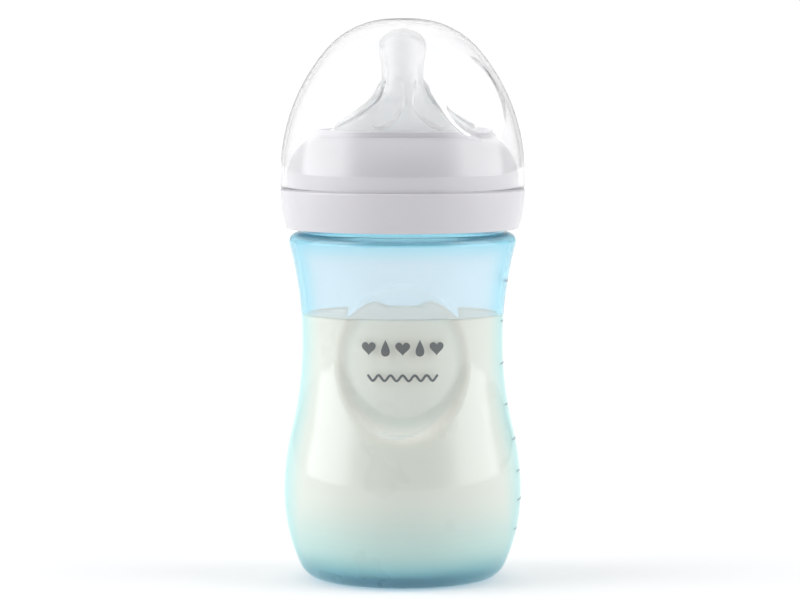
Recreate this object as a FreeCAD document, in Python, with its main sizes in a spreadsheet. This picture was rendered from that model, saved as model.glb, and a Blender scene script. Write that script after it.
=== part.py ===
import FreeCAD, Part
import Sketcher
import math
import os

# A wide-neck baby bottle with a screw ring, a silicone teat and a clear dome cap.
# The frame: +Z up, the origin on the floor at the bottle's axis, the front towards -Y. Millimetres.
# The four pieces come apart along Z: cap off the ring, ring and teat off the bottle's neck.

SIZES = {
    # bottle, outside
    "foot_inner_radius": 19.0,
    "base_recess": 1.4,
    "base_corner": 7.0,
    "belly_radius": 35.0,
    "belly_height": 25.5,
    "belly_lower_arc": 50.0,
    "belly_upper_arc": 77.0,
    "waist_radius": 29.55,
    "waist_height": 70.0,
    "waist_upper_arc": 112.0,
    "shoulder_corner": 2.7,
    "shoulder_height": 102.2,
    "neck_radius": 30.0,
    "lip_height": 118.5,
    # bottle, inside
    "bottle_wall": 1.6,
    "neck_wall": 1.8,
    "floor_height": 4.2,
    "floor_corner": 11.0,
    # grip dimple at the front: round, and wider further out from the axis
    "grip_floor_radius": 28.0,
    "grip_height": 66.5,
    "grip_near": 16.0,
    "grip_near_radius": 20.0,
    "grip_far": 36.0,
    "grip_far_radius": 23.0,
    "grip_floor_fillet": 7.0,
    "grip_rim_fillet": 2.2,
    # screw thread, one start
    "thread_lead": 5.5,
    "thread_start": 107.2,
    "thread_depth": 1.8,
    "thread_root_width": 2.4,
    "thread_crest_width": 1.2,
    "bottle_thread_turns": 1.0,
    "ring_thread_turns": 1.0,
    "ring_thread_drop": 2.0,
    # screw ring
    "ring_bottom": 103.4,
    "ring_inner_radius": 32.3,
    "band_radius": 36.0,
    "band_arc": 30.0,
    "band_height": 114.0,
    "ledge_height": 115.05,
    "dome_radius": 34.2,
    "dome_height": 117.6,
    "dome_arc": 14.6,
    "dome_wall": 1.6,
    "opening_radius": 25.0,
    "lip_radius": 26.1,
    "lip_top": 132.45,
    "clamp_inner_radius": 28.8,
    "clamp_outer_radius": 30.9,
    "clamp_height": 120.6,
    "ring_edge_fillet": 0.5,
    # teat
    "tip_height": 162.2,
    "head_height": 156.8,
    "head_radius": 6.93,
    "head_arc": 20.0,
    "tip_corner": 4.5,
    "teat_neck_radius": 6.12,
    "teat_neck_height": 148.2,
    "flare_arc": 11.0,
    "teat_wall": 1.6,
    "skirt_radius": 24.6,
    "skirt_height": 129.9,
    "skirt_shoulder_height": 127.4,
    "collar_radius": 28.2,
    "collar_height": 124.0,
    "flange_radius": 31.4,
    "flange_top": 120.5,
    "flange_bottom": 118.6,
    "plug_radius": 27.8,
    "plug_bottom": 116.4,
    "plug_wall": 1.4,
    "feed_hole_radius": 0.35,
    "petal_count": 7.0,
    "petal_azimuth": -58.0,
    "petal_half_length": 6.6,
    "petal_half_width": 3.3,
    "petal_half_depth": 1.5,
    "petal_rise": 0.75,
    "petal_reach": 14.3,
    # dome cap
    "cap_top": 165.0,
    "cap_rim": 115.35,
    "cap_radius": 36.0,
    "cap_side_height": 119.0,
    "cap_side_arc": 57.0,
    "cap_middle_arc": 26.0,
    "cap_top_arc": 66.0,
    "cap_wall": 1.3,
    "thumb_radius": 12.6,
    "thumb_depth": 2.3,
    "thumb_height": 142.0,
    "thumb_azimuth": 44.0,
    "thumb_tilt": 25.0,
    "thumb_floor_fillet": 3.0,
    "thumb_rim_fillet": 2.0,
    # how far a cutting tool runs past what it cuts
    "overshoot": 2.0,
}

doc = FreeCAD.newDocument("baby_bottle")
sheet = doc.addObject("Spreadsheet::Sheet", "sizes")
for row, (alias, value) in enumerate(SIZES.items(), start=1):
    sheet.set(f"A{row}", alias)
    sheet.set(f"B{row}", str(value))
    sheet.setAlias(f"B{row}", alias)
doc.recompute()


def size(alias):
    """A driving dimension, as a number read back from the sheet."""
    return float(sheet.get(alias))


def bind(thing, prop, expression):
    """Ties a property to the sheet; sheet names in the expression are written with a leading #."""
    thing.setExpression(prop, expression.replace("#", "sizes."))


# ---------------------------------------------------------------- outlines of turned shapes


def touch_point(centre, radius, other, outside=False):
    """Where the circle touches a tangent circle around other; outside if that one is not nested with it."""
    away = (FreeCAD.Vector(*other, 0) - FreeCAD.Vector(*centre, 0)).normalize() * radius
    sign = 1 if outside else -1
    return centre[0] + sign * away.x, centre[1] + sign * away.y


def nested_centre(centre_a, reach_a, centre_b, reach_b):
    """The outer one of the two points at those distances from two centres."""
    a = FreeCAD.Vector(*centre_a, 0)
    b = FreeCAD.Vector(*centre_b, 0)
    apart = (b - a).Length
    along = (reach_a**2 - reach_b**2 + apart**2) / (2 * apart)
    aside = math.sqrt(reach_a**2 - along**2)
    way = (b - a) / apart
    normal = FreeCAD.Vector(-way.y, way.x, 0)
    found = max((a + way * along + normal * aside * s for s in (1, -1)), key=lambda p: p.x + p.y)
    return found.x, found.y


class Outline:
    """One closed outline in a sketch on the XZ plane: x is the radius and y the height."""

    def __init__(self, sketch, start):
        self.sketch = sketch
        self.start = start
        self.here = start
        self.ends = []  # (geometry, position of its start, position of its end)
        self.names = 0

    def _join(self, geometry, first, last, smooth):
        if self.ends:
            kind = "Tangent" if smooth else "Coincident"
            before = self.ends[-1]
            self.sketch.addConstraint(Sketcher.Constraint(kind, before[0], before[2], geometry, first))
        self.ends.append((geometry, first, last))

    def line(self, end, smooth=False):
        a = FreeCAD.Vector(*self.here, 0)
        b = FreeCAD.Vector(*end, 0)
        index = self.sketch.addGeometry(Part.LineSegment(a, b), False)
        if abs(a.y - b.y) < 1e-7:
            self.sketch.addConstraint(Sketcher.Constraint("Horizontal", index))
        elif abs(a.x - b.x) < 1e-7:
            self.sketch.addConstraint(Sketcher.Constraint("Vertical", index))
        self._join(index, 1, 2, smooth)
        self.here = end
        return index

    def arc(self, end, centre, radius, smooth=True):
        """An arc of the radius that an expression gives, from here to end."""
        c = FreeCAD.Vector(*centre, 0)
        a = FreeCAD.Vector(*self.here, 0) - c
        b = FreeCAD.Vector(*end, 0) - c
        turn_left = a.cross(b).z > 0
        first, last = (a, b) if turn_left else (b, a)
        circle = Part.Circle(c, FreeCAD.Vector(0, 0, 1), a.Length)
        angles = [math.atan2(v.y, v.x) for v in (first, last)]
        if angles[1] < angles[0]:
            angles[1] += 2 * math.pi
        index = self.sketch.addGeometry(Part.ArcOfCircle(circle, *angles), False)
        self._join(index, *((1, 2) if turn_left else (2, 1)), smooth)
        self.tie("Radius", index, None, a.Length, radius)
        self.here = end
        return index

    def tie(self, kind, index, position, value, expression):
        """A dimension bound to the sheet: a Radius, or a point's DistanceX or DistanceY from the origin."""
        where = (index,) if position is None else (index, position)
        number = self.sketch.addConstraint(Sketcher.Constraint(kind, *where, value))
        name = f"{kind.lower()}_{self.names}"
        self.names += 1
        self.sketch.renameConstraint(number, name)
        bind(self.sketch, f"Constraints.{name}", expression)

    def corner_at(self, radius=None, height=None):
        """Ties the corner reached last to the sheet, by its radius, its height or both."""
        index, _, last = self.ends[-1]
        if radius:
            self.tie("DistanceX", index, last, self.here[0], radius)
        if height:
            self.tie("DistanceY", index, last, self.here[1], height)

    def close(self):
        """Runs down the axis to the start."""
        index = self.line(self.start)
        self.sketch.addConstraint(Sketcher.Constraint("Coincident", index, 2, self.ends[0][0], self.ends[0][1]))


def free_sketch(name):
    """A sketch on the XZ plane that belongs to no body."""
    sketch = doc.addObject("Sketcher::SketchObject", name)
    sketch.Placement = FreeCAD.Placement(FreeCAD.Vector(), FreeCAD.Rotation(FreeCAD.Vector(1, 0, 0), 90))
    return sketch


def plane_of(body, role):
    return next(o for o in body.Origin.OriginFeatures if o.Role == role)


def body_sketch(body, name):
    """A sketch on the body's own XZ plane."""
    sketch = body.newObject("Sketcher::SketchObject", name)
    sketch.AttachmentSupport = (plane_of(body, "XZ_Plane"), [""])
    sketch.MapMode = "FlatFace"
    return sketch


def turned(name, sketch):
    """A solid turned about Z from a free sketch."""
    made = doc.addObject("Part::Revolution", name)
    made.Source = sketch
    made.Axis = FreeCAD.Vector(0, 0, 1)
    made.Base = FreeCAD.Vector(0, 0, 0)
    made.Angle = 360
    made.Solid = True
    return made


def turned_feature(body, kind, name, sketch):
    """A Revolution or Groove about Z in a body."""
    feature = body.newObject(f"PartDesign::{kind}", name)
    feature.Profile = (sketch, [""])
    feature.ReferenceAxis = (sketch, ["V_Axis"])
    feature.Angle = 360
    return feature


def boolean(kind, name, base, tool):
    made = doc.addObject(f"Part::{kind}", name)
    made.Base = base
    made.Tool = tool
    return made


def circle_edges(shape, radius, height, near=0.05):
    """Names of the circular edges about Z of that radius at that height."""
    found = []
    for number, edge in enumerate(shape.Edges, start=1):
        curve = edge.Curve
        if (
            isinstance(curve, Part.Circle)
            and abs(curve.Radius - radius) < near
            and abs(curve.Center.z - height) < near
            and abs(curve.Axis.z) > 0.999
        ):
            found.append(f"Edge{number}")
    if not found:
        raise ValueError(f"no edge of radius {radius} at height {height}")
    return found


# ---------------------------------------------------------------- bottle


def inset_of(name):
    """The inset a sheet name stands for, and its text in an expression; no name means no inset."""
    return (size(name), f" - #{name}") if name else (0.0, "")


def body_outline(sketch, inset):
    """The bottle's side from its floor to its neck, drawn inwards by a wall; no wall gives the outside."""
    wall, wall_text = inset_of(inset)
    belly_r, belly_z = size("belly_radius"), size("belly_height")
    waist_r, waist_z = size("waist_radius"), size("waist_height")
    corner = size("floor_corner") if inset else size("base_corner")
    corner_text = "#floor_corner" if inset else "#base_corner"
    floor = size("floor_height") if inset else 0.0
    lower, upper = size("belly_lower_arc"), size("belly_upper_arc")
    # the two arcs that meet between belly and waist share a tangent, which sets the second one's radius
    drop, narrowing = waist_z - belly_z, belly_r - waist_r
    waist_lower = (narrowing**2 + drop**2) / (2 * narrowing) - upper
    waist_lower_text = (
        "((#belly_radius - #waist_radius)^2 + (#waist_height - #belly_height)^2)"
        " / (2 * (#belly_radius - #waist_radius)) - #belly_upper_arc"
    )
    lower_c = (belly_r - lower, belly_z)
    upper_c = (belly_r - upper, belly_z)
    waist_lower_c = (waist_r + waist_lower, waist_z)
    waist_upper = size("waist_upper_arc")
    waist_upper_c = (waist_r + waist_upper, waist_z)
    shoulder = size("shoulder_corner")
    shoulder_z = size("shoulder_height") - shoulder
    reach = waist_upper + shoulder
    shoulder_c = (waist_upper_c[0] - math.sqrt(reach**2 - (shoulder_z - waist_z) ** 2), shoulder_z)
    corner_z = floor + corner
    corner_c = (
        lower_c[0] + math.sqrt((lower - wall - corner) ** 2 - (belly_z - corner_z) ** 2),
        corner_z,
    )
    if inset:
        path = Outline(sketch, (0.0, floor))
        path.line((corner_c[0], floor))
        path.corner_at(height="#floor_height")
    else:
        recess = size("base_recess")
        foot = size("foot_inner_radius")
        dome = (foot**2 + recess**2) / (2 * recess)
        path = Outline(sketch, (0.0, recess))
        path.arc((foot, 0.0), (0.0, recess - dome), "(#foot_inner_radius^2 + #base_recess^2) / (2 * #base_recess)")
        path.corner_at(radius="#foot_inner_radius")
        path.line((corner_c[0], 0.0))
    path.arc(touch_point(lower_c, -(lower - wall), corner_c), corner_c, corner_text)
    path.arc((belly_r - wall, belly_z), lower_c, "#belly_lower_arc" + wall_text)
    path.corner_at("#belly_radius" + wall_text, "#belly_height")
    path.arc(touch_point(upper_c, upper - wall, waist_lower_c, True), upper_c, "#belly_upper_arc" + wall_text)
    path.arc((waist_r - wall, waist_z), waist_lower_c, waist_lower_text + wall_text.replace("-", "+"))
    path.corner_at("#waist_radius" + wall_text, "#waist_height")
    path.arc(
        touch_point(waist_upper_c, waist_upper + wall, shoulder_c, True),
        waist_upper_c,
        "#waist_upper_arc" + wall_text.replace("-", "+"),
    )
    path.arc((shoulder_c[0], size("shoulder_height") - wall), shoulder_c, "#shoulder_corner" + wall_text)
    if inset:
        path.line((size("neck_radius") - size("neck_wall"), size("shoulder_height") - wall), smooth=True)
        path.line((size("neck_radius") - size("neck_wall"), size("lip_height") + size("overshoot")))
        path.corner_at("#neck_radius - #neck_wall", "#lip_height + #overshoot")
    else:
        path.line((size("neck_radius"), size("shoulder_height")), smooth=True)
        path.line((size("neck_radius"), size("lip_height")))
        path.corner_at("#neck_radius", "#lip_height")
    path.line((0.0, path.here[1]))
    path.close()


def grip_cutter(name, grow):
    """The front dimple's tool: a round flared plug outside an upright drum, which leaves the dimple's curved floor.
    grow is the expression that makes the tool larger all round, for the wall behind the dimple."""
    drum = doc.addObject("Part::Cylinder", f"{name}_drum")
    bind(drum, "Radius", f"#grip_floor_radius - {grow}")
    bind(drum, "Height", "4 * #belly_radius")
    bind(drum, "Placement.Base.z", "#grip_height - 2 * #belly_radius")
    plug = doc.addObject("Part::Cone", f"{name}_plug")
    bind(plug, "Radius1", f"#grip_near_radius + {grow}")
    bind(plug, "Radius2", f"#grip_far_radius + {grow}")
    bind(plug, "Height", "#grip_far - #grip_near")
    plug.Placement.Rotation = FreeCAD.Rotation(FreeCAD.Vector(1, 0, 0), 90)
    bind(plug, "Placement.Base.y", "-#grip_near")
    bind(plug, "Placement.Base.z", "#grip_height")
    return boolean("Cut", f"{name}_tool", plug, drum)


def dimple_edges(shape, first, second):
    """Numbers of the dimple's edges between a face of the first kind of surface and one of another kind."""
    found = []
    for number, edge in enumerate(shape.Edges, start=1):
        if edge.Degenerated:
            continue
        kinds = [type(face.Surface).__name__ for face in shape.ancestorsOfType(edge, Part.Face)]
        if first not in kinds or len(set(kinds)) < 2 or (second and second not in kinds):
            continue
        points = edge.discretize(9)
        aside = max(math.hypot(p.x, p.z - size("grip_height")) for p in points)
        if aside < size("grip_far_radius") and min(abs(p.y) for p in points) > size("grip_near"):
            found.append(number)
    return found


def rounded(name, base, numbers, radius):
    fillet = doc.addObject("Part::Fillet", name)
    fillet.Base = base
    fillet.Edges = [(number, radius, radius) for number in numbers]
    doc.recompute()
    return fillet


def thread_profile(body, name, root_radius, outwards, height_text, height):
    """A trapezoid that a helix sweeps into a thread; its root lies a little inside the wall."""
    sketch = body_sketch(body, name)
    sunk = 0.4
    way = 1 if outwards else -1
    half_root, half_crest = size("thread_root_width") / 2, size("thread_crest_width") / 2
    slope = (half_root - half_crest) / size("thread_depth")
    root = root_radius - way * sunk
    crest = root_radius + way * size("thread_depth")
    half_sunk = half_root + slope * sunk
    low_side = [(root, height - half_sunk), (crest, height - half_crest)]
    corners = low_side + [(crest, height + half_crest), (root, height + half_sunk)]
    path = Outline(sketch, corners[0])
    for corner in corners[1:]:
        path.line(corner)
    path.close()
    path.tie("DistanceY", 1, 1, corners[1][1], f"{height_text} - #thread_crest_width / 2")
    path.tie("DistanceY", 1, 2, corners[2][1], f"{height_text} + #thread_crest_width / 2")
    return sketch


def helical_thread(body, name, profile, turns):
    helix = body.newObject("PartDesign::AdditiveHelix", name)
    helix.Profile = (profile, [""])
    helix.ReferenceAxis = (profile, ["V_Axis"])
    helix.Mode = "pitch-turns-angle"
    bind(helix, "Pitch", "#thread_lead * 1 mm")
    bind(helix, "Turns", turns)
    helix.LeftHanded = False
    return helix


def make_bottle():
    """The moulded bottle: a waisted hollow body with a grip dimple and a threaded neck."""
    outside_sketch = free_sketch("bottle_outside_outline")
    body_outline(outside_sketch, None)
    inside_sketch = free_sketch("bottle_inside_outline")
    body_outline(inside_sketch, "bottle_wall")
    outside = turned("bottle_outside", outside_sketch)
    inside = turned("bottle_inside", inside_sketch)
    outer_tool = grip_cutter("grip", "0")
    inner_tool = grip_cutter("grip_back", "#bottle_wall")
    doc.recompute()
    floor_edges = dimple_edges(outer_tool.Shape, "Cylinder", "Cone")
    outer_tool = rounded("grip_rounded", outer_tool, floor_edges, size("grip_floor_fillet"))
    dimpled_outside = boolean("Cut", "bottle_dimpled", outside, outer_tool)
    dimpled_inside = boolean("Cut", "bottle_dimpled_inside", inside, inner_tool)
    doc.recompute()
    rims = dimple_edges(dimpled_outside.Shape, "Toroid", None)
    softened = rounded("bottle_softened", dimpled_outside, rims, size("grip_rim_fillet"))
    shell = boolean("Cut", "bottle_shell", softened, dimpled_inside)
    doc.recompute()
    body = doc.addObject("PartDesign::Body", "bottle")
    body.BaseFeature = shell
    doc.recompute()
    start = size("thread_start")
    profile = thread_profile(body, "bottle_thread_profile", size("neck_radius"), True, "#thread_start", start)
    helical_thread(body, "bottle_thread", profile, "#bottle_thread_turns")
    doc.recompute()
    return body


# ---------------------------------------------------------------- screw ring


def make_ring():
    """The screw ring: a tapered band, a ledge for the cap, a dome with a lipped opening, a clamp and a thread."""
    body = doc.addObject("PartDesign::Body", "screw_ring")
    sketch = body_sketch(body, "ring_outline")
    inner, bottom = size("ring_inner_radius"), size("ring_bottom")
    band_c = (size("band_radius") - size("band_arc"), size("band_height"))
    dome_c = (size("dome_radius") - size("dome_arc"), size("dome_height"))
    inner_arc = size("dome_arc") - size("dome_wall")

    def on_dome(radius, arc):
        return radius, dome_c[1] + math.sqrt(arc**2 - (radius - dome_c[0]) ** 2)

    foot = band_c[0] + math.sqrt(size("band_arc") ** 2 - (band_c[1] - bottom) ** 2)
    path = Outline(sketch, (inner, bottom))
    path.line((foot, bottom))
    path.corner_at(height="#ring_bottom")
    path.arc((size("band_radius"), size("band_height")), band_c, "#band_arc", smooth=False)
    path.corner_at("#band_radius", "#band_height")
    path.line((size("band_radius"), size("ledge_height")), smooth=True)
    path.line((size("dome_radius"), size("ledge_height")))
    path.corner_at(height="#ledge_height")
    path.line((size("dome_radius"), size("dome_height")))
    path.corner_at("#dome_radius", "#dome_height")
    opening = size("opening_radius")
    lip, lip_top = size("lip_radius"), size("lip_top")
    path.arc(on_dome(lip, size("dome_arc")), dome_c, "#dome_arc")
    path.line((lip, lip_top))
    path.corner_at("#lip_radius", "#lip_top")
    path.line((opening, lip_top))
    path.line(on_dome(opening, inner_arc))
    path.corner_at(radius="#opening_radius")
    clamp_in, clamp_out, clamp_z = size("clamp_inner_radius"), size("clamp_outer_radius"), size("clamp_height")
    path.arc(on_dome(clamp_in, inner_arc), dome_c, "#dome_arc - #dome_wall", smooth=False)
    path.line((clamp_in, clamp_z))
    path.corner_at("#clamp_inner_radius", "#clamp_height")
    path.line((clamp_out, clamp_z))
    path.line(on_dome(clamp_out, inner_arc))
    path.corner_at(radius="#clamp_outer_radius")
    path.arc(on_dome(inner, inner_arc), dome_c, "#dome_arc - #dome_wall", smooth=False)
    path.close()
    turned_feature(body, "Revolution", "ring_solid", sketch)
    doc.recompute()
    solid = body.Tip
    edges = circle_edges(solid.Shape, foot, bottom)
    edges += circle_edges(solid.Shape, size("band_radius"), size("ledge_height"))
    edges += circle_edges(solid.Shape, lip, lip_top)
    edges += circle_edges(solid.Shape, opening, lip_top)
    rounding = body.newObject("PartDesign::Fillet", "ring_edges")
    rounding.Base = (solid, edges)
    rounding.Radius = size("ring_edge_fillet")
    bind(rounding, "Radius", "#ring_edge_fillet")
    doc.recompute()
    profile = thread_profile(
        body,
        "ring_thread_profile",
        inner,
        False,
        "#thread_start - #ring_thread_drop",
        size("thread_start") - size("ring_thread_drop"),
    )
    helical_thread(body, "ring_thread", profile, "#ring_thread_turns")
    doc.recompute()
    return body


# ---------------------------------------------------------------- teat


def teat_outline(sketch, inset):
    """The teat's side from its tip down, drawn inwards by a wall; no wall gives the outside with its flange."""
    inset, inset_text = inset_of(inset)
    grown_text = inset_text.replace("-", "+")
    head_r, head_z = size("head_radius"), size("head_height")
    neck_r, neck_z = size("teat_neck_radius"), size("teat_neck_height")
    tip = size("tip_height")
    corner = size("tip_corner")
    corner_c = (head_r - corner, head_z)
    # the arc over the tip is centred on the axis and touches the tip's corner arc
    rise = tip - head_z
    top_arc = (corner**2 - corner_c[0] ** 2 - rise**2) / (2 * (corner - rise))
    top_text = (
        "(#tip_corner^2 - (#head_radius - #tip_corner)^2 - (#tip_height - #head_height)^2)"
        " / (2 * (#tip_corner - #tip_height + #head_height))"
    )
    top_c = (0.0, tip - top_arc)
    head_c = (head_r - size("head_arc"), head_z)
    narrowing, drop = head_r - neck_r, head_z - neck_z
    neck_arc = (narrowing**2 + drop**2) / (2 * narrowing) - size("head_arc")
    neck_text = (
        "((#head_radius - #teat_neck_radius)^2 + (#head_height - #teat_neck_height)^2)"
        " / (2 * (#head_radius - #teat_neck_radius)) - #head_arc"
    )
    neck_c = (neck_r + neck_arc, neck_z)
    flare = size("flare_arc")
    flare_c = (neck_r + flare, neck_z)
    # the skirt's cone runs from its edge and touches the flare
    edge = (size("skirt_radius"), size("skirt_height"))
    to_centre = FreeCAD.Vector(flare_c[0] - edge[0], flare_c[1] - edge[1], 0)
    lean = math.atan2(to_centre.y, to_centre.x) + math.asin(flare / to_centre.Length)
    cone = math.sqrt(to_centre.Length**2 - flare**2)
    down = (-math.cos(lean), -math.sin(lean))
    inward = (down[1], -down[0])
    edge = (edge[0] + inward[0] * inset, edge[1] + inward[1] * inset)
    touch = (edge[0] - down[0] * cone, edge[1] - down[1] * cone)
    path = Outline(sketch, (0.0, tip - inset))
    path.arc(touch_point(top_c, inset - top_arc, corner_c), top_c, top_text + inset_text)
    path.arc((head_r - inset, head_z), corner_c, "#tip_corner" + inset_text)
    path.corner_at("#head_radius" + inset_text, "#head_height")
    path.arc(touch_point(head_c, size("head_arc") - inset, neck_c, True), head_c, "#head_arc" + inset_text)
    path.arc((neck_r - inset, neck_z), neck_c, neck_text + grown_text)
    path.corner_at("#teat_neck_radius" + inset_text, "#teat_neck_height")
    path.arc(touch, flare_c, "#flare_arc" + grown_text)
    if inset:
        bore = size("plug_radius") - size("plug_wall")
        path.line(edge, smooth=True)
        path.line((bore, size("collar_height") - inset))
        path.corner_at("#plug_radius - #plug_wall", "#collar_height - #teat_wall")
        path.line((bore, size("plug_bottom") - size("overshoot")))
        path.corner_at(height="#plug_bottom - #overshoot")
    else:
        path.line(edge, smooth=True)
        path.corner_at("#skirt_radius", "#skirt_height")
        path.line((size("skirt_radius"), size("skirt_shoulder_height")))
        path.corner_at(height="#skirt_shoulder_height")
        path.line((size("collar_radius"), size("collar_height")))
        path.corner_at("#collar_radius", "#collar_height")
        path.line((size("collar_radius"), size("flange_top")))
        path.line((size("flange_radius"), size("flange_top")))
        path.corner_at("#flange_radius", "#flange_top")
        path.line((size("flange_radius"), size("flange_bottom")))
        path.line((size("plug_radius"), size("flange_bottom")))
        path.corner_at("#plug_radius", "#flange_bottom")
        path.line((size("plug_radius"), size("plug_bottom")))
        path.corner_at(height="#plug_bottom")
    path.line((0.0, path.here[1]))
    path.close()
    return lean, edge, down


def make_teat():
    """The silicone teat: a nipple on a wide skirt with comfort petals, a flange and a plug seal."""
    body = doc.addObject("PartDesign::Body", "teat")
    outside = body_sketch(body, "teat_outside_outline")
    lean, edge, down = teat_outline(outside, None)
    turned_feature(body, "Revolution", "teat_solid", outside)
    doc.recompute()
    petal = body.newObject("PartDesign::AdditiveEllipsoid", "petal")
    bind(petal, "Radius1", "#petal_half_depth")
    bind(petal, "Radius2", "#petal_half_length")
    bind(petal, "Radius3", "#petal_half_width")
    along = (size("skirt_radius") - size("petal_reach")) / down[0]
    sink = size("petal_half_depth") - size("petal_rise")
    normal = FreeCAD.Vector(-down[1], 0, down[0])
    centre = FreeCAD.Vector(size("petal_reach"), 0, edge[1] - down[1] * along) - normal * sink
    slope = math.degrees(math.atan2(-down[1], down[0]))
    turn = FreeCAD.Rotation(FreeCAD.Vector(0, 0, 1), size("petal_azimuth"))
    petal.Placement = FreeCAD.Placement(FreeCAD.Vector(), turn).multiply(
        FreeCAD.Placement(centre, FreeCAD.Rotation(FreeCAD.Vector(0, 1, 0), slope))
    )
    doc.recompute()
    pattern = body.newObject("PartDesign::PolarPattern", "petals")
    pattern.Originals = [petal]
    pattern.Axis = (outside, ["V_Axis"])
    pattern.Angle = 360
    pattern.Occurrences = int(size("petal_count"))
    body.Tip = pattern
    doc.recompute()
    inside = body_sketch(body, "teat_inside_outline")
    teat_outline(inside, "teat_wall")
    turned_feature(body, "Groove", "teat_hollow", inside)
    doc.recompute()
    hole = body.newObject("PartDesign::SubtractiveCylinder", "feed_hole")
    bind(hole, "Radius", "#feed_hole_radius")
    bind(hole, "Height", "#teat_wall + 2 * #overshoot")
    bind(hole, "Placement.Base.z", "#tip_height - #teat_wall - #overshoot")
    doc.recompute()
    return body


# ---------------------------------------------------------------- dome cap


def cap_outline(sketch, inset):
    """The dome's side from its top down to its rim, drawn inwards by a wall; no wall gives the outside."""
    inset, inset_text = inset_of(inset)
    side, middle, top = size("cap_side_arc"), size("cap_middle_arc"), size("cap_top_arc")
    side_c = (size("cap_radius") - side, size("cap_side_height"))
    top_c = (0.0, size("cap_top") - top)
    middle_c = nested_centre(side_c, side - middle, top_c, top - middle)
    rim = size("cap_rim") - (size("overshoot") if inset else 0.0)
    path = Outline(sketch, (0.0, size("cap_top") - inset))
    path.arc(touch_point(top_c, inset - top, middle_c), top_c, "#cap_top_arc" + inset_text)
    path.arc(touch_point(side_c, inset - side, middle_c), middle_c, "#cap_middle_arc" + inset_text)
    path.arc((side_c[0] + side - inset, side_c[1]), side_c, "#cap_side_arc" + inset_text)
    path.corner_at("#cap_radius" + inset_text, "#cap_side_height")
    reach = side - inset
    edge = side_c[0] + math.sqrt(reach**2 - (side_c[1] - rim) ** 2)
    path.arc((edge, rim), side_c, "#cap_side_arc" + inset_text)
    path.corner_at(height="#cap_rim - #overshoot" if inset else "#cap_rim")
    path.line((0.0, rim))
    path.close()
    return side_c


def thumb_tool(name, side_c, grow, depth):
    """A drum whose flat end cuts the round thumb facet, leaning with the dome's surface."""
    tool = doc.addObject("Part::Cylinder", name)
    bind(tool, "Radius", f"#thumb_radius + {grow}")
    tool.Height = 20
    tilt = size("thumb_tilt")
    azimuth = size("thumb_azimuth") - 90
    face = size("cap_side_arc") - depth
    radial = side_c[0] + face * math.cos(math.radians(tilt))
    height = side_c[1] + face * math.sin(math.radians(tilt))
    place = FreeCAD.Vector(radial, 0, height)
    turn = FreeCAD.Rotation(FreeCAD.Vector(0, 0, 1), azimuth)
    lean = FreeCAD.Rotation(FreeCAD.Vector(0, 1, 0), 90 - tilt)
    tool.Placement = FreeCAD.Placement(turn.multVec(place), turn.multiply(lean))
    return tool


def facet_edges(shape):
    """Numbers of the edges where the dome, turned about Z, meets the leaning thumb facet."""
    found = []
    for number, edge in enumerate(shape.Edges, start=1):
        surfaces = [face.Surface for face in shape.ancestorsOfType(edge, Part.Face)]
        leaning = {hasattr(surface, "Axis") and abs(surface.Axis.z) < 0.999 for surface in surfaces}
        if len(leaning) == 2:
            found.append(number)
    return found


def make_cap():
    """The clear dome cap: a thin shell with one flat thumb facet in its side."""
    outside_sketch = free_sketch("cap_outside_outline")
    side_c = cap_outline(outside_sketch, None)
    inside_sketch = free_sketch("cap_inside_outline")
    cap_outline(inside_sketch, "cap_wall")
    outside = turned("cap_outside", outside_sketch)
    inside = turned("cap_inside", inside_sketch)
    depth, wall = size("thumb_depth"), size("cap_wall")
    floor_fillet, rim_fillet = size("thumb_floor_fillet"), size("thumb_rim_fillet")
    halves = []
    for name, solid, grow, sink, floor, rim in (
        ("thumb", outside, "0", depth, floor_fillet, rim_fillet),
        ("thumb_back", inside, "#cap_wall", depth + wall, floor_fillet + wall, rim_fillet - wall),
    ):
        facet = thumb_tool(f"{name}_facet", side_c, grow, sink)
        doc.recompute()
        end = [n for n, edge in enumerate(facet.Shape.Edges, start=1) if edge.Curve.TypeId == "Part::GeomCircle"]
        lowest = min(end, key=lambda n: facet.Shape.Edges[n - 1].CenterOfMass.Length)
        facet = rounded(f"{name}_rounded", facet, [lowest], floor)
        pressed = boolean("Cut", f"{name}_cut", solid, facet)
        doc.recompute()
        halves.append(rounded(f"{name}_softened", pressed, facet_edges(pressed.Shape), rim))
    return boolean("Cut", "dome_cap", *halves)


# ---------------------------------------------------------------- build, check and write


def check(pieces):
    """Stops if any object failed or a piece's shape isn't one sound solid."""
    for thing in doc.Objects:
        if any(word in state for state in thing.State for word in ("Invalid", "Error")):
            raise RuntimeError(f"{thing.Label} failed: {thing.State}")
    for piece in pieces:
        shape = piece.Shape
        if shape.isNull() or not shape.isValid() or len(shape.Solids) != 1:
            raise RuntimeError(f"{piece.Label} is not one sound solid")
        print(f"{piece.Label}: {shape.Volume / 1000:.2f} cm3, box {shape.BoundBox}")


pieces = [make_bottle(), make_ring(), make_teat(), make_cap()]
doc.recompute()
check(pieces)
os.makedirs("parts", exist_ok=True)
for piece in pieces:
    piece.Shape.exportStep(f"parts/{piece.Label}.step")
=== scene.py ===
import math
import bpy
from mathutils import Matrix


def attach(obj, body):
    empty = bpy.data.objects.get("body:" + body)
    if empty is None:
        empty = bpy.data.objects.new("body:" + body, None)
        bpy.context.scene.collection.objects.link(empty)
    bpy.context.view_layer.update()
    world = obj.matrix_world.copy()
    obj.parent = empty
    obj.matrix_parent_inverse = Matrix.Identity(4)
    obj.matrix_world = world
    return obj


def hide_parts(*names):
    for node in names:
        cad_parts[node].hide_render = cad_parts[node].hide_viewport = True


# A baby bottle with milk in it: its looks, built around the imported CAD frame. Metres, +Z up, front towards -Y.

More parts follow.
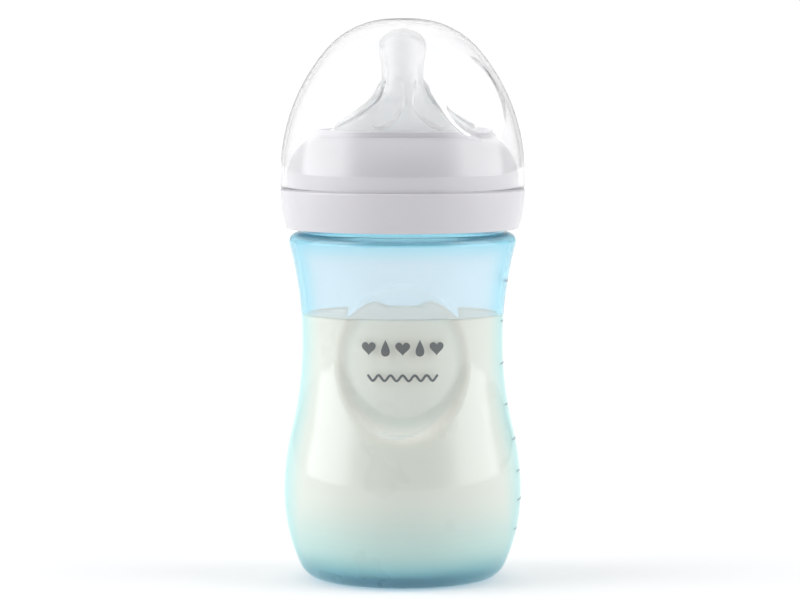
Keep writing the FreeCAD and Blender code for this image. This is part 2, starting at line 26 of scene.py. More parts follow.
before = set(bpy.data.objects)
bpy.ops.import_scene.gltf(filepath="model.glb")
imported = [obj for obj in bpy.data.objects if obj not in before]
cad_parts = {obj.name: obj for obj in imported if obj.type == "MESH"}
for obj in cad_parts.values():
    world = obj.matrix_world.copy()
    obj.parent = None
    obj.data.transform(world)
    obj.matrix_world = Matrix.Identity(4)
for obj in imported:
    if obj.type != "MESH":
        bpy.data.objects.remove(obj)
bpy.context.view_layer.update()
MM = 0.001
COLUMNS, TEAT_COLUMNS = 320, 420
FRONT = -math.pi / 2

# Sizes in millimetres, with heights above the floor
FLOOR, WALL, MILK_LEVEL = 4.2, 1.6, 78.0
DIMPLE_HEIGHT, DIMPLE_ACROSS, DIMPLE_UP, DIMPLE_FLOOR = 65.9, 19.9, 22.7, 28.0
THREAD_START, THREAD_PITCH, THREAD_DEPTH, THREAD_HALF, THREAD_FLANK = 107.2, 5.5, 1.8, 1.2, 0.6
TEAT_WALL, TEAT_HOLE, PETALS, PETAL_TOP, PETAL_FOOT, PETAL_EDGE = 1.6, 0.35, 7, 147.6, 132.6, 0.6
CAP_TOP, CAP_WALL, CAP_SIDE_ARC, CAP_SIDE_CENTRE = 165.0, 1.3, 57.0, (-21.0, 119.0)
SCALE_MIDDLE = 55.0

# How bright each part of the studio is
LEFT_PANEL, RIGHT_PANEL, LEFT_GAP, RIGHT_GAP, FRONT_LIGHT, TOP_LIGHT = 3.4, 2.9, 0.8, 0.65, 0.08, 0.8
scene = bpy.context.scene


# ---------------------------------------------------------------- materials


class Shade:
    """A new material's node tree, with one call per node."""

    def __init__(self, name):
        self.material = bpy.data.materials.new(name)
        self.material.use_nodes = True
        self.tree = self.material.node_tree
        self.tree.nodes.clear()
        self.output = self.tree.nodes.new("ShaderNodeOutputMaterial")

    def node(self, kind, inputs=None, **settings):
        made = self.tree.nodes.new("ShaderNode" + kind)
        for key, value in settings.items():
            setattr(made, key, value)
        for key, value in (inputs or {}).items():
            if isinstance(value, bpy.types.NodeSocket):
                self.tree.links.new(value, made.inputs[key])
            else:
                made.inputs[key].default_value = value
        return made

    def place(self):
        return self.node("TexCoord").outputs["Object"]

    def noise(self, scale, detail=3.0, roughness=0.5, stretch=(1, 1, 1)):
        where = self.node("Mapping", {"Vector": self.place(), "Scale": stretch}).outputs[0]
        inputs = {"Vector": where, "Scale": scale, "Detail": detail, "Roughness": roughness}
        return self.node("TexNoise", inputs).outputs["Fac"]

    def between(self, factor, low, high):
        """A number that runs from low to high as the factor runs over a noise's usual range."""
        inputs = {"Value": factor, "From Min": 0.3, "From Max": 0.7, "To Min": low, "To Max": high}
        return self.node("MapRange", inputs).outputs[0]

    def ease(self, value, low, high, top=1.0):
        inputs = {"Value": value, "From Min": low, "From Max": high, "To Max": top}
        return self.node("MapRange", inputs, interpolation_type="SMOOTHSTEP").outputs[0]

    def tint(self, factor, low, high):
        mixed = self.node("Mix", {"Factor": factor}, data_type="RGBA")
        mixed.inputs["A"].default_value = (*low, 1)
        mixed.inputs["B"].default_value = (*high, 1)
        return mixed.outputs["Result"]

    def bump(self, height, strength, distance):
        inputs = {"Height": height, "Strength": strength, "Distance": distance}
        return self.node("Bump", inputs).outputs[0]

    def lets_light_through(self, shader, tint):
        """Direct and soft light reach what is behind the surface, which stays clear to the eye."""
        path = self.node("LightPath")
        soft = self.node(
            "Math", {0: path.outputs["Is Shadow Ray"], 1: path.outputs["Is Diffuse Ray"]}, operation="MAXIMUM"
        )
        open_side = self.node("BsdfTransparent", {"Color": (*tint, 1)})
        inputs = {0: soft.outputs[0], 1: shader, 2: open_side.outputs[0]}
        return self.node("MixShader", inputs).outputs[0]

    def finish(self, surface, volume=None):
        self.tree.links.new(surface, self.output.inputs["Surface"])
        if volume is not None:
            self.tree.links.new(volume, self.output.inputs["Volume"])
        return self.material


def bottle_plastic():
    """Blue-tinted polypropylene: clear, a little hazy, deeper in colour where it is thick or seen edge-on."""
    s = Shade("bottle_plastic")
    flow = s.noise(90, 2.0, 0.5, (1, 1, 0.35))
    skin = s.noise(1400, 2.0, 0.6)
    deep_colour = (0.30, 0.86, 0.97, 1)
    height = s.node("SeparateXYZ", {0: s.place()}).outputs["Z"]
    base = s.ease(height, 0.030, 0.006, 0.68)
    shoulder = s.ease(height, 0.094, 0.101, 0.5)
    edge = s.ease(s.node("LayerWeight", {"Blend": 0.5}).outputs["Facing"], 0.40, 0.86)
    thick = s.node("Math", {0: base, 1: shoulder}, operation="MAXIMUM").outputs[0]
    deep = s.node("Math", {0: thick, 1: edge}, operation="MAXIMUM").outputs[0]
    clear = s.tint(flow, (0.958, 0.958, 0.968), (0.966, 0.964, 0.974))
    tinted = s.node("Mix", {"Factor": deep, "A": clear, "B": deep_colour}, data_type="RGBA")
    plastic = s.node(
        "BsdfPrincipled",
        {
            "Base Color": tinted.outputs["Result"],
            "Roughness": s.between(flow, 0.05, 0.10),
            "Normal": s.bump(skin, 0.04, 0.0001),
            "Transmission Weight": 0.88,
            "IOR": 1.49,
        },
    ).outputs[0]
    volume = s.node("VolumeAbsorption", {"Color": (0.0, 0.70, 0.94, 1), "Density": 105.0}).outputs[0]
    return s.finish(s.lets_light_through(plastic, (0.99, 0.995, 0.998)), volume)


def cap_plastic():
    """Clear polypropylene with faint moulding flow."""
    s = Shade("cap_plastic")
    flow = s.noise(60, 2.0, 0.5, (1, 1, 0.4))
    plastic = s.node(
        "BsdfPrincipled",
        {
            "Base Color": s.tint(flow, (0.982, 0.984, 0.987), (0.99, 0.991, 0.993)),
            "Roughness": s.between(flow, 0.015, 0.045),
            "Normal": s.bump(s.noise(900, 2.0, 0.5), 0.03, 0.0001),
            "Transmission Weight": 0.97,
            "IOR": 1.49,
        },
    ).outputs[0]
    return s.finish(s.lets_light_through(plastic, (0.97, 0.97, 0.97)))


def teat_silicone():
    """Clear silicone with a satin skin."""
    s = Shade("teat_silicone")
    cloud = s.noise(220, 3.0, 0.55)
    rubber = s.node(
        "BsdfPrincipled",
        {
            "Base Color": s.tint(cloud, (0.955, 0.96, 0.965), (0.975, 0.978, 0.98)),
            "Roughness": s.between(cloud, 0.16, 0.26),
            "Normal": s.bump(s.noise(2600, 2.0, 0.6), 0.08, 0.0001),
            "Transmission Weight": 0.82,
            "IOR": 1.41,
        },
    ).outputs[0]
    return s.finish(s.lets_light_through(rubber, (0.97, 0.97, 0.97)))


def ring_plastic():
    """White polypropylene with a fine moulded grain, given a light grey base colour: painted shade that darkens
    the whole ring to suit the bright studio.
    """
    s = Shade("ring_plastic")
    cloud = s.noise(130, 3.0, 0.5)
    grain = s.noise(4200, 2.0, 0.6)
    plastic = s.node(
        "BsdfPrincipled",
        {
            # Painted shade: the white ring's base colour is a light grey that stands in for the darker look the
            # bright studio gives it.
            "Base Color": s.tint(cloud, (0.63, 0.62, 0.65), (0.655, 0.645, 0.675)),
            "Roughness": s.between(cloud, 0.18, 0.26),
            "Normal": s.bump(grain, 0.06, 0.0001),
            "Subsurface Weight": 0.15,
            "Subsurface Radius": (1.0, 0.95, 0.95),
            "Subsurface Scale": 0.002,
        },
    ).outputs[0]
    return s.finish(plastic)


def milk():
    """Warm white milk, a touch deeper in places where the fat has gathered, with a faint warm painted glow that
    stands in for light scattered into it from the sides.
    """
    s = Shade("milk")
    cloud = s.noise(70, 3.0, 0.5)
    milk_with_painted_glow = s.node(
        "BsdfPrincipled",
        {
            "Base Color": s.tint(cloud, (0.98, 0.785, 0.635), (0.99, 0.805, 0.655)),
            "Roughness": s.between(cloud, 0.25, 0.35),
            # Painted glow: a weak warm emission stands in for light that scatters through the milk from the
            # bright sides.
            "Emission Color": (1.0, 0.45, 0.15, 1),
            "Emission Strength": 0.08,
            "Normal": s.bump(s.noise(500, 2.0, 0.5), 0.03, 0.0001),
        },
    ).outputs[0]
    return s.finish(milk_with_painted_glow)


def print_ink(name, low, high):
    """Screen-printed ink with a slightly uneven coat."""
    s = Shade(name)
    coat = s.noise(1500, 3.0, 0.6)
    ink = s.node(
        "BsdfPrincipled",
        {
            "Base Color": s.tint(coat, low, high),
            "Roughness": s.between(coat, 0.35, 0.5),
            "Normal": s.bump(coat, 0.1, 0.00005),
        },
    ).outputs[0]
    return s.finish(ink)


def floor_paper():
    """A white paper sweep, lit a little from below, which throws soft light back at the object."""
    s = Shade("floor_paper")
    fibre = s.noise(300, 4.0, 0.6)
    normal = s.bump(fibre, 0.05, 0.0002)
    colour = s.tint(fibre, (0.74, 0.74, 0.745), (0.77, 0.77, 0.775))
    paper = s.node("BsdfDiffuse", {"Color": colour, "Normal": normal})
    lit = s.node("Emission", {"Color": (0.97, 0.985, 1.0, 1), "Strength": 0.24})
    seen = s.node("AddShader", {0: paper.outputs[0], 1: lit.outputs[0]})
    thrown = s.node("BsdfDiffuse", {"Color": (0.88, 0.88, 0.885, 1)})
    soft = s.node("LightPath").outputs["Is Diffuse Ray"]
    return s.finish(s.node("MixShader", {0: soft, 1: seen.outputs[0], 2: thrown.outputs[0]}).outputs[0])


def give(piece, material):
    piece.data.materials.clear()
    piece.data.materials.append(material)


# ---------------------------------------------------------------- shapes


def new_piece(name, points, faces, material, body, smooth=True):
    mesh = bpy.data.meshes.new(name)
    mesh.from_pydata(points, [], faces)
    mesh.validate()
    mesh.update()
    if smooth:
        mesh.shade_smooth()
    piece = bpy.data.objects.new(name, mesh)
    scene.collection.objects.link(piece)
    give(piece, material)
    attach(piece, body)
    return piece


def ring_faces(rows, columns, closed_rows=False):
    """Quads between rows of points that each run once around; the rows can close on themselves too."""
    faces = []
    for i in range(rows if closed_rows else rows - 1):
        above = (i + 1) % rows
        for j in range(columns):
            after = (j + 1) % columns
            faces.append((i * columns + j, i * columns + after, above * columns + after, above * columns + j))
    return faces


def unit(point):
    length = math.hypot(*point)
    return point[0] / length, point[1] / length


def touch(centre, reach, other):
    """The point at that distance from the centre on the line to the other centre; behind it if negative."""
    way = unit((other[0] - centre[0], other[1] - centre[1]))
    return centre[0] + way[0] * reach, centre[1] + way[1] * reach


class Side:
    """The side of a turned shape as close-set points of radius and height, in millimetres."""

    def __init__(self, start, step):
        self.points = [start]
        self.step = step

    def line(self, end, step=None):
        start = self.points[-1]
        count = max(1, round(math.dist(start, end) / (step or self.step)))
        for i in range(1, count + 1):
            share = i / count
            self.points.append(tuple(p + (q - p) * share for p, q in zip(start, end)))
        return self

    def arc(self, centre, end):
        start = self.points[-1]
        radius = math.dist(centre, start)
        first = math.atan2(start[1] - centre[1], start[0] - centre[0])
        last = math.atan2(end[1] - centre[1], end[0] - centre[0])
        turn = (last - first + math.pi) % (2 * math.pi) - math.pi
        count = max(4, round(abs(turn) * radius / self.step))
        for i in range(1, count + 1):
            angle = first + turn * i / count
            self.points.append((centre[0] + radius * math.cos(angle), centre[1] + radius * math.sin(angle)))
        return self


def body_side(wall):
    """The bottle's side from its base to its neck, drawn inwards by a wall; none gives the outside."""
    belly, waist = (35.0, 25.5), (29.55, 70.0)
    lower, upper, waist_upper, shoulder, shoulder_z = 50.0, 77.0, 112.0, 2.7, 102.2
    corner, floor = (11.0, FLOOR) if wall else (7.0, 0.0)
    narrowing, rise = belly[0] - waist[0], waist[1] - belly[1]
    waist_lower = (narrowing**2 + rise**2) / (2 * narrowing) - upper
    lower_c, upper_c = (belly[0] - lower, belly[1]), (belly[0] - upper, belly[1])
    waist_lower_c, waist_upper_c = (waist[0] + waist_lower, waist[1]), (waist[0] + waist_upper, waist[1])
    lift = shoulder_z - shoulder - waist[1]
    shoulder_c = (waist_upper_c[0] - math.sqrt((waist_upper + shoulder) ** 2 - lift**2), shoulder_z - shoulder)
    reach = lower - wall - corner
    corner_c = (lower_c[0] + math.sqrt(reach**2 - (belly[1] - floor - corner) ** 2), floor + corner)
    if wall:
        side = Side((0.5, floor), 0.7).line((corner_c[0], floor), 1.5)
    else:
        dome = (19.0**2 + 1.4**2) / (2 * 1.4)
        side = Side((0.5, 1.4), 0.7).arc((0.0, 1.4 - dome), (18.7, 0.045))
        side.line((19.3, 0.0)).line((corner_c[0], 0.0))
    side.arc(corner_c, touch(lower_c, lower - wall, corner_c))
    side.arc(lower_c, (belly[0] - wall, belly[1]))
    side.arc(upper_c, touch(upper_c, upper - wall, waist_lower_c))
    side.arc(waist_lower_c, (waist[0] - wall, waist[1]))
    side.arc(waist_upper_c, touch(waist_upper_c, waist_upper + wall, shoulder_c))
    side.arc(shoulder_c, (shoulder_c[0], shoulder_z - wall))
    neck = 28.2 if wall else 30.0
    side.line((neck, shoulder_z - wall), 0.5)
    side.line((neck, 118.1), 0.3)
    side.line((neck + 0.4, 118.5) if wall else (neck - 0.4, 118.5), 0.3)
    return side.points


OUTSIDE = body_side(0.0)
INSIDE = body_side(WALL)
CURVED = [point for point in OUTSIDE if 12.0 < point[1] < 99.0]


def body_radius(height):
    """The outside's radius at a height between the base's corner and the shoulder, with no dimple."""
    for (r0, z0), (r1, z1) in zip(CURVED, CURVED[1:]):
        if z0 <= height <= z1:
            return r0 + (r1 - r0) * (height - z0) / (z1 - z0)
    return CURVED[0][0] if height < CURVED[0][1] else CURVED[-1][0]


def dimple(angle, height, body):
    """How deep the front grip dimple presses in there: steep at its rim and flowing into its floor."""
    lowest, highest, beyond, soft = 36.0, 97.0, 1.4, 0.09
    if not lowest < height < highest:
        return 0.0
    off = (angle + 1.5 * math.pi) % (2 * math.pi) - math.pi
    if abs(off) > math.pi / 2:
        return 0.0
    up = height - DIMPLE_HEIGHT
    out = math.hypot(body * math.sin(off) / DIMPLE_ACROSS, up / DIMPLE_UP)
    if out > beyond:
        return 0.0
    depth = max(body - DIMPLE_FLOOR, 0.0)
    slope = 0.09 + 0.068 * depth if up > 0 else 0.06 + 0.075 * depth
    run = (1 - out) / slope
    run = (math.sqrt(run * run + soft * soft) + run) / 2
    return depth * (1 - (1 - min(run, 1.0)) ** 2.2)


def outer_radius(angle, height):
    body = body_radius(height)
    return body - dimple(angle, height, body)


def thread(angle, height):
    """How far the neck's screw thread stands out: one turn of a trapezoid ridge that tapers at both ends."""
    turns = (angle % (2 * math.pi)) / (2 * math.pi)
    off = abs(height - THREAD_START - THREAD_PITCH * turns)
    ends = min(turns, 1 - turns) / 0.03
    return THREAD_DEPTH * min(max((THREAD_HALF - off) / THREAD_FLANK, 0.0), 1.0) * min(ends, 1.0)


def make_bottle():
    """The moulded bottle: waisted, with a soft grip dimple, a threaded neck and an even wall."""
    rows = []
    for inside, side in ((False, OUTSIDE), (True, list(reversed(INSIDE)))):
        for radius, height in side:
            body = body_radius(height)
            row = []
            for j in range(COLUMNS):
                angle = 2 * math.pi * j / COLUMNS
                r = radius - (dimple(angle, height, body) if radius > 20 else 0.0)
                if not inside and height > 104.0:
                    r += thread(angle, height)
                row.append((r * MM * math.cos(angle), r * MM * math.sin(angle), height * MM))
            rows.append(row)
    points = [point for row in rows for point in row]
    faces = ring_faces(len(rows), COLUMNS)
    last = (len(rows) - 1) * COLUMNS
    points += [(0, 0, 1.4 * MM), (0, 0, FLOOR * MM)]
    base, floor = len(points) - 2, len(points) - 1
    for j in range(COLUMNS):
        after = (j + 1) % COLUMNS
        faces += [(after, j, base), (last + j, last + after, floor)]
    piece = new_piece("bottle_shell", points, faces, bottle_plastic(), "bottle")
    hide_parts("bottle")


def make_milk():
    """The milk: it fills the bottle's inside up to its level, and creeps up the wall a little at its edge."""
    overlap, creep = 0.03, 0.55
    top = MILK_LEVEL + creep
    side = [point for point in INSIDE if point[1] < top - 0.2]
    above = next(point for point in INSIDE if point[1] > top)
    share = (top - side[-1][1]) / (above[1] - side[-1][1])
    side.append((side[-1][0] + (above[0] - side[-1][0]) * share, top))
    points = []
    for radius, height in side:
        body = body_radius(height)
        for j in range(COLUMNS):
            angle = 2 * math.pi * j / COLUMNS
            r = radius + overlap - (dimple(angle, height, body) if radius > 20 else 0.0)
            points.append((r * MM * math.cos(angle), r * MM * math.sin(angle), (height - overlap) * MM))
    rim = points[-COLUMNS:]
    for share in (0.996, 0.99, 0.98, 0.965, 0.94, 0.9, 0.8, 0.6, 0.4, 0.2):
        fall = creep * (1 - math.exp(-(1 - share) * 70))
        points += [(x * share, y * share, (top - fall - overlap) * MM) for x, y, _ in rim]
    rows = len(points) // COLUMNS
    faces = ring_faces(rows, COLUMNS)
    points += [(0, 0, (MILK_LEVEL - overlap) * MM), (0, 0, (FLOOR - overlap) * MM)]
    last = (rows - 1) * COLUMNS
    for j in range(COLUMNS):
        after = (j + 1) % COLUMNS
        faces += [(last + j, last + after, len(points) - 2), (after, j, len(points) - 1)]
    new_piece("milk", points, faces, milk(), "bottle")


def teat_side(inset):
    """The teat's side from its tip down to the edge of its skirt, drawn inwards by the wall."""
    tip, head, neck, edge = 162.2, (6.93, 156.8), (6.12, 148.2), (24.6, 129.9)
    corner, head_arc, flare = 4.5, 20.0, 11.0
    corner_c = (head[0] - corner, head[1])
    rise = tip - head[1]
    top_arc = (corner**2 - corner_c[0] ** 2 - rise**2) / (2 * (corner - rise))
    top_c, head_c = (0.0, tip - top_arc), (head[0] - head_arc, head[1])
    narrowing, drop = head[0] - neck[0], head[1] - neck[1]
    neck_arc = (narrowing**2 + drop**2) / (2 * narrowing) - head_arc
    neck_c, flare_c = (neck[0] + neck_arc, neck[1]), (neck[0] + flare, neck[1])
    apart = (flare_c[0] - edge[0], flare_c[1] - edge[1])
    lean = math.atan2(apart[1], apart[0]) + math.asin(flare / math.hypot(*apart))
    cone = math.sqrt(math.hypot(*apart) ** 2 - flare**2)
    low = (edge[0] - math.sin(lean) * inset, edge[1] + math.cos(lean) * inset)
    high = (low[0] + math.cos(lean) * cone, low[1] + math.sin(lean) * cone)
    side = Side((0.5, tip - inset), 0.35)
    side.arc(top_c, touch(top_c, top_arc - inset, corner_c))
    side.arc(corner_c, (head[0] - inset, head[1]))
    side.arc(head_c, touch(head_c, head_arc - inset, neck_c))
    side.arc(neck_c, (neck[0] - inset, neck[1]))
    side.arc(flare_c, high)
    return side.line(low).points


def smooth_step(low, high, value):
    share = min(max((value - low) / (high - low), 0), 1)
    return share * share * (3 - 2 * share)


def petal_height(radius, height, angle):
    """How far a petal stands out of the skirt: narrow at the neck, wide and round lower down, and twisted."""
    along = (PETAL_TOP - height) / (PETAL_TOP - PETAL_FOOT)
    if not 0 < along < 1:
        return 0.0
    step = 2 * math.pi / PETALS
    turn = math.radians(-58 + 13 * (1 - along) ** 2)
    off = (angle - turn + step / 2) % step - step / 2
    aside = abs(off) * radius
    round_end = math.sqrt(max(1 - (max(along - 0.68, 0) / 0.32) ** 2, 0))
    half = (0.9 + 2.7 * smooth_step(0.05, 0.7, along)) * round_end
    edge = PETAL_EDGE
    if half > edge:
        lift = smooth_step(half + edge / 2, half - edge / 2, aside)
    else:
        lift = smooth_step(2 * half, 0, aside) * half / edge
    return 1.0 * smooth_step(0.0, 0.2, along) * lift * (1 - 0.2 * min(aside / 4, 1) ** 2)


def make_teat():
    """The teat: nipple and skirt with seven petals, the flange under the ring and the plug in the neck."""
    outer, inner = teat_side(0.0), teat_side(TEAT_WALL)
    foot = [(24.6, 129.4), (24.6, 127.9), (24.9, 127.2), (27.9, 124.35), (28.2, 123.8), (28.2, 120.9)]
    foot += [(28.5, 120.5), (31.1, 120.5), (31.4, 120.2), (31.4, 118.9), (31.1, 118.6), (28.1, 118.6)]
    foot += [(27.8, 118.3), (27.8, 116.7), (27.5, 116.4), (26.7, 116.4), (26.4, 116.7), (26.4, 122.2)]
    profile = [(TEAT_HOLE, 162.17)] + outer + foot + inner[::-1] + [(TEAT_HOLE, 160.63)]
    petalled = range(2, len(outer) - 1)
    points = []
    for i, (radius, height) in enumerate(profile):
        before, after = profile[i - 1], profile[(i + 1) % len(profile)]
        out_r, out_z = unit((before[1] - after[1], after[0] - before[0]))
        for j in range(TEAT_COLUMNS):
            angle = 2 * math.pi * j / TEAT_COLUMNS
            lift = petal_height(radius, height, angle) if i in petalled else 0.0
            r, z = radius + lift * out_r, height + lift * out_z
            points.append((r * MM * math.cos(angle), r * MM * math.sin(angle), z * MM))
    faces = [tuple(reversed(face)) for face in ring_faces(len(profile), TEAT_COLUMNS, closed_rows=True)]
    piece = new_piece("teat_soft", points, faces, teat_silicone(), "teat")
    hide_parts("teat")


def cap_side(inset):
    """The cap's side from its top down to its rim, drawn inwards by the wall."""
    rim, top_arc, middle_arc, side_arc = 115.35, 66.0, 26.0, CAP_SIDE_ARC
    top_c, side_c = (0.0, CAP_TOP - top_arc), CAP_SIDE_CENTRE
    apart = math.dist(top_c, side_c)
    along = (((top_arc - middle_arc) ** 2 - (side_arc - middle_arc) ** 2) / apart + apart) / 2
    aside = math.sqrt((top_arc - middle_arc) ** 2 - along**2)
    way = unit((side_c[0] - top_c[0], side_c[1] - top_c[1]))
    middle_c = (top_c[0] + way[0] * along + way[1] * aside, top_c[1] + way[1] * along - way[0] * aside)
    path = Side((0.4, CAP_TOP - inset), 0.7)
    path.arc(top_c, touch(top_c, top_arc - inset, middle_c))
    path.arc(middle_c, touch(side_c, side_arc - inset, middle_c))
    path.arc(side_c, (side_c[0] + side_arc - inset, side_c[1]))
    edge = side_c[0] + math.sqrt((side_arc - inset) ** 2 - (side_c[1] - rim - 0.2) ** 2)
    return path.arc(side_c, (edge, rim + 0.2)).line((edge + (0.2 if inset else -0.2), rim), 0.3).points


def pressed_facet(point, inset):
    """Presses a point of the cap's wall in to the round thumb facet's flat, with a soft edge."""
    tilt, azimuth, reach, soft, depth = math.radians(25), math.radians(44 - 90), 12.6, 1.6, 2.3
    level = CAP_SIDE_ARC - depth - inset
    axis = (math.cos(tilt) * math.cos(azimuth), math.cos(tilt) * math.sin(azimuth), math.sin(tilt))
    foot_radius, foot_height = CAP_SIDE_CENTRE
    foot = (foot_radius * math.cos(azimuth), foot_radius * math.sin(azimuth), foot_height)
    way = [p - f for p, f in zip(point, foot)]
    proud = sum(w * a for w, a in zip(way, axis)) - level
    if proud < -1.0:
        return point
    off = math.sqrt(max(sum(w * w for w in way) - (proud + level) ** 2, 0.0))
    push = smooth_step(reach + soft, reach - soft, off) * (proud + math.sqrt(proud * proud + 0.09)) / 2
    return tuple(p - push * a for p, a in zip(point, axis))


def make_cap():
    """The clear dome cap: a thin even shell with one round thumb facet pressed into its side."""
    points = []
    for inset in (0.0, CAP_WALL):
        side = cap_side(inset)
        for radius, height in side[::-1] if inset else side:
            for j in range(COLUMNS):
                angle = 2 * math.pi * j / COLUMNS
                point = pressed_facet((radius * math.cos(angle), radius * math.sin(angle), height), inset)
                points.append(tuple(p * MM for p in point))
    rows = len(points) // COLUMNS
    faces = [tuple(reversed(face)) for face in ring_faces(rows, COLUMNS)]
    points += [(0, 0, CAP_TOP * MM), (0, 0, (CAP_TOP - CAP_WALL) * MM)]
    last = (rows - 1) * COLUMNS
    for j in range(COLUMNS):
        after = (j + 1) % COLUMNS
        faces += [(j, after, len(points) - 2), (last + after, last + j, len(points) - 1)]
    piece = new_piece("cap_shell", points, faces, cap_plastic(), "cap")
    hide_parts("dome_cap")


# ---------------------------------------------------------------- prints


def stroke(path, width, closed=False, slices=4):
    """A flat band along a path, as points (across, up) and quads."""
    points, faces = [], []
    count = len(path)
    for i, (u, v) in enumerate(path):
        before = path[i - 1] if i or closed else path[i]
        after = path[(i + 1) % count] if i < count - 1 or closed else path[i]
        du, dv = after[0] - before[0], after[1] - before[1]
        length = math.hypot(du, dv) or 1
        for k in range(slices + 1):
            across = width * (k / slices - 0.5)
            points.append((u - dv / length * across, v + du / length * across))
    for i in range(count if closed else count - 1):
        a, b = i * (slices + 1), (i + 1) % count * (slices + 1)
        faces += [(a + k, b + k, b + k + 1, a + k + 1) for k in range(slices)]
    return points, faces


def blob(outline, centre, rings=6):
    """A filled outline that its centre sees all of, as points and faces that follow a curved surface."""
    points, faces = [], []
    count = len(outline)
    for ring in range(1, rings + 1):
        share = ring / rings
        for u, v in outline:
            points.append((centre[0] + (u - centre[0]) * share, centre[1] + (v - centre[1]) * share))
    points.append(centre)
    middle = len(points) - 1
    for ring in range(rings - 1):
        for k in range(count):
            after = (k + 1) % count
            a, b = ring * count, (ring + 1) * count
            faces.append((a + k, a + after, b + after, b + k))
    faces += [((k + 1) % count, k, middle) for k in range(count)]
    return points, faces


def merge(parts):
    points, faces = [], []
    for some_points, some_faces in parts:
        start = len(points)
        points += some_points
        faces += [tuple(i + start for i in f) for f in some_faces]
    return points, faces


def print_on_bottle(name, flat, azimuth, height, material):
    """Lays a flat print on the bottle's outside as a closed coat of ink; flat is in millimetres."""
    flat_points, flat_faces = flat
    middle = outer_radius(azimuth, height)
    skins = []
    for proud in (0.06, -0.02):
        for u, v in flat_points:
            angle = azimuth + u / middle
            r = (outer_radius(angle, height + v) + proud) * MM
            skins.append((r * math.cos(angle), r * math.sin(angle), (height + v) * MM))
    count = len(flat_points)
    faces = list(flat_faces) + [tuple(i + count for i in reversed(f)) for f in flat_faces]
    sides = {(a, b) for f in flat_faces for a, b in zip(f, f[1:] + f[:1])}
    faces += [(b, a, a + count, b + count) for a, b in sides if (b, a) not in sides]
    new_piece(name, skins, faces, material, "bottle", smooth=False)


def drop_outline(width, height, count=48):
    """A milk drop with its point up."""
    out = []
    for k in range(count):
        t = 2 * math.pi * k / count
        out.append((width / 2 * math.sin(t) * math.sin(t / 2) ** 1.6 * 1.12, height / 2 * math.cos(t)))
    return out


def heart_outline(size, count=48):
    """A heart of that width with its point down."""
    out = []
    for k in range(count):
        t = 2 * math.pi * k / count
        u = 16 * math.sin(t) ** 3
        v = 13 * math.cos(t) - 5 * math.cos(2 * t) - 2 * math.cos(3 * t) - math.cos(4 * t)
        out.append((u / 32 * size, v / 32 * size))
    return out


def shifted(outline, across, up):
    return [(u + across, v + up) for u, v in outline]


def make_emblem():
    """A plain nursery border in place of lettering: a row of hearts and drops over a fine wavy line."""
    parts = []
    for k in range(-2, 3):
        across = k * 5.0
        if k % 2:
            parts.append(blob(shifted(drop_outline(3.3, 4.9), across, 4.4), (across, 3.8)))
        else:
            parts.append(blob(shifted(heart_outline(4.3), across, 4.4), (across, 4.5)))
    wave = [(u / 5, -4.3 + 0.8 * math.cos(u / 5 * math.pi / 1.75)) for u in range(-52, 53)]
    parts.append(stroke(wave, 0.7))
    grey = print_ink("emblem_ink", (0.13, 0.14, 0.145), (0.16, 0.17, 0.175))
    print_on_bottle("printed_emblem", merge(parts), FRONT, DIMPLE_HEIGHT, grey)


def digits(text, size):
    """A flat mesh of a number or a unit, in millimetres, that starts at its origin."""
    curve = bpy.data.curves.new("digits", "FONT")
    curve.body = text
    curve.size = size
    curve.align_x = "LEFT"
    curve.align_y = "CENTER"
    curve.resolution_u = 4
    holder = bpy.data.objects.new("digits", curve)
    scene.collection.objects.link(holder)
    bpy.context.view_layer.update()
    mesh = bpy.data.meshes.new_from_object(holder.evaluated_get(bpy.context.evaluated_depsgraph_get()))
    points = [(v.co.x, v.co.y) for v in mesh.vertices]
    faces = [tuple(p.vertices) for p in mesh.polygons]
    bpy.data.objects.remove(holder)
    bpy.data.curves.remove(curve)
    bpy.data.meshes.remove(mesh)
    return points, faces


def level_of(millilitres):
    """The height at which the bottle holds that much, from its own inner wall."""
    held, step = 0.0, 0.25
    height = FLOOR + step / 2
    inner = [point for point in INSIDE if point[1] < 100.0]
    while True:
        above = next(k for k, point in enumerate(inner) if point[1] > height)
        (r0, z0), (r1, z1) = inner[above - 1], inner[above]
        radius = r0 + (r1 - r0) * (height - z0) / (z1 - z0)
        body = body_radius(height)
        radii = [radius - dimple(2 * math.pi * (k + 0.5) / 36, height, body) for k in range(36)]
        held += sum(math.pi * r * r for r in radii) / 36 * step / 1000
        if held >= millilitres:
            return height + step / 2
        height += step


def make_scale():
    """The measuring scale on the right side: a tick each 30 ml, longer and numbered each 60 ml."""
    parts = []
    for amount in range(30, 270, 30):
        up = level_of(amount) - SCALE_MIDDLE
        numbered = amount % 60 == 0
        reach = 7.0 if numbered else 4.0
        parts.append(stroke([(-8 + reach * k / 10, up) for k in range(11)], 0.45, slices=1))
        if numbered:
            figures, faces = digits(str(amount), 4.2)
            parts.append((shifted(figures, 0.6, up), faces))
    letters, faces = digits("ml", 4.0)
    parts.append((shifted(letters, 0.9, level_of(240) - SCALE_MIDDLE + 6.5), faces))
    slate = print_ink("scale_ink", (0.24, 0.31, 0.36), (0.29, 0.36, 0.41))
    print_on_bottle("measuring_scale", merge(parts), 0.0, SCALE_MIDDLE, slate)


# ---------------------------------------------------------------- the object

give(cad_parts["screw_ring"], ring_plastic())
make_bottle()
make_milk()
make_teat()
make_cap()
make_emblem()
make_scale()


# ---------------------------------------------------------------- the studio


def make_floor():
    reach = 6.0
    corners = [(-reach, -reach, 0), (reach, -reach, 0), (reach, reach, 0), (-reach, reach, 0)]
    mesh = bpy.data.meshes.new("floor")
    mesh.from_pydata(corners, [], [(0, 1, 2, 3)])
    floor = bpy.data.objects.new("floor", mesh)
    scene.collection.objects.link(floor)
    floor.location.z = -0.0002
    give(floor, floor_paper())


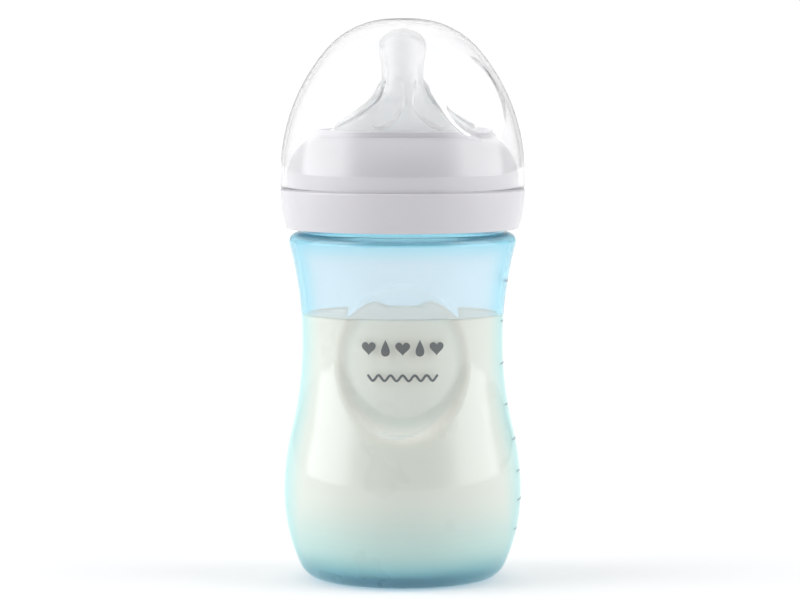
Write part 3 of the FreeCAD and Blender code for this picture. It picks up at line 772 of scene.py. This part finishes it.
def make_sky():
    """A soft studio all round: white behind the object, broad bright panels at both sides, a dim front."""
    world = bpy.data.worlds.new("studio")
    scene.world = world
    world.use_nodes = True
    tree = world.node_tree
    tree.nodes.clear()

    def node(kind, inputs=None, **settings):
        made = tree.nodes.new("ShaderNode" + kind)
        for key, value in settings.items():
            setattr(made, key, value)
        for key, value in (inputs or {}).items():
            if isinstance(value, bpy.types.NodeSocket):
                tree.links.new(value, made.inputs[key])
            else:
                made.inputs[key].default_value = value
        return made

    def math_node(operation, first, second=0.0):
        return node("Math", {0: first, 1: second}, operation=operation).outputs[0]

    def blend(factor, low, high):
        return node("Mix", {"Factor": factor, "A": low, "B": high}, data_type="FLOAT").outputs["Result"]

    way = node("SeparateXYZ", {0: node("TexCoord").outputs["Generated"]}).outputs
    squares = [math_node("MULTIPLY", axis, axis) for axis in (way[0], way[1])]
    level = math_node("MAXIMUM", math_node("SQRT", math_node("ADD", *squares)), 0.01)
    forward = math_node("DIVIDE", way[1], level)
    sideways = math_node("DIVIDE", way[0], level)

    def ease(value, low, high):
        inputs = {"Value": value, "From Min": low, "From Max": high}
        return node("MapRange", inputs, interpolation_type="SMOOTHSTEP").outputs[0]

    path = node("LightPath").outputs
    panel = blend(ease(sideways, -0.3, 0.3), LEFT_PANEL, RIGHT_PANEL)
    panel = blend(path["Is Transmission Ray"], panel, 1.15)
    gap = blend(ease(sideways, -0.3, 0.3), LEFT_GAP, RIGHT_GAP)
    front_part = blend(ease(forward, -0.82, -0.40), FRONT_LIGHT, panel)
    side_part = blend(ease(forward, 0.18, 0.42), front_part, gap)
    back = blend(path["Is Transmission Ray"], blend(path["Is Glossy Ray"], 1.0, 0.55), 1.13)
    around = blend(ease(forward, 0.88, 0.96), side_part, back)
    full = blend(ease(way[2], 0.65, 0.95), around, TOP_LIGHT)
    strength = blend(path["Is Camera Ray"], full, 1.02)
    background = node("Background", {"Color": (1, 1, 1, 1), "Strength": strength})
    node("OutputWorld", {"Surface": background.outputs[0]})


def make_camera():
    """A long lens in front of the bottle, at the cap's height and looking a little down."""
    camera = bpy.data.cameras.new("camera")
    camera.sensor_width = 36
    camera.lens = 169.9
    camera.clip_start = 0.01
    holder = bpy.data.objects.new("camera", camera)
    holder.location = (-0.00077, -1.110, 0.165)
    holder.rotation_euler = (math.radians(90 - 4.27), 0, 0)
    scene.collection.objects.link(holder)
    scene.camera = holder


make_floor()
make_sky()
make_camera()
scene.view_settings.view_transform = "Standard"
scene.view_settings.look = "None"
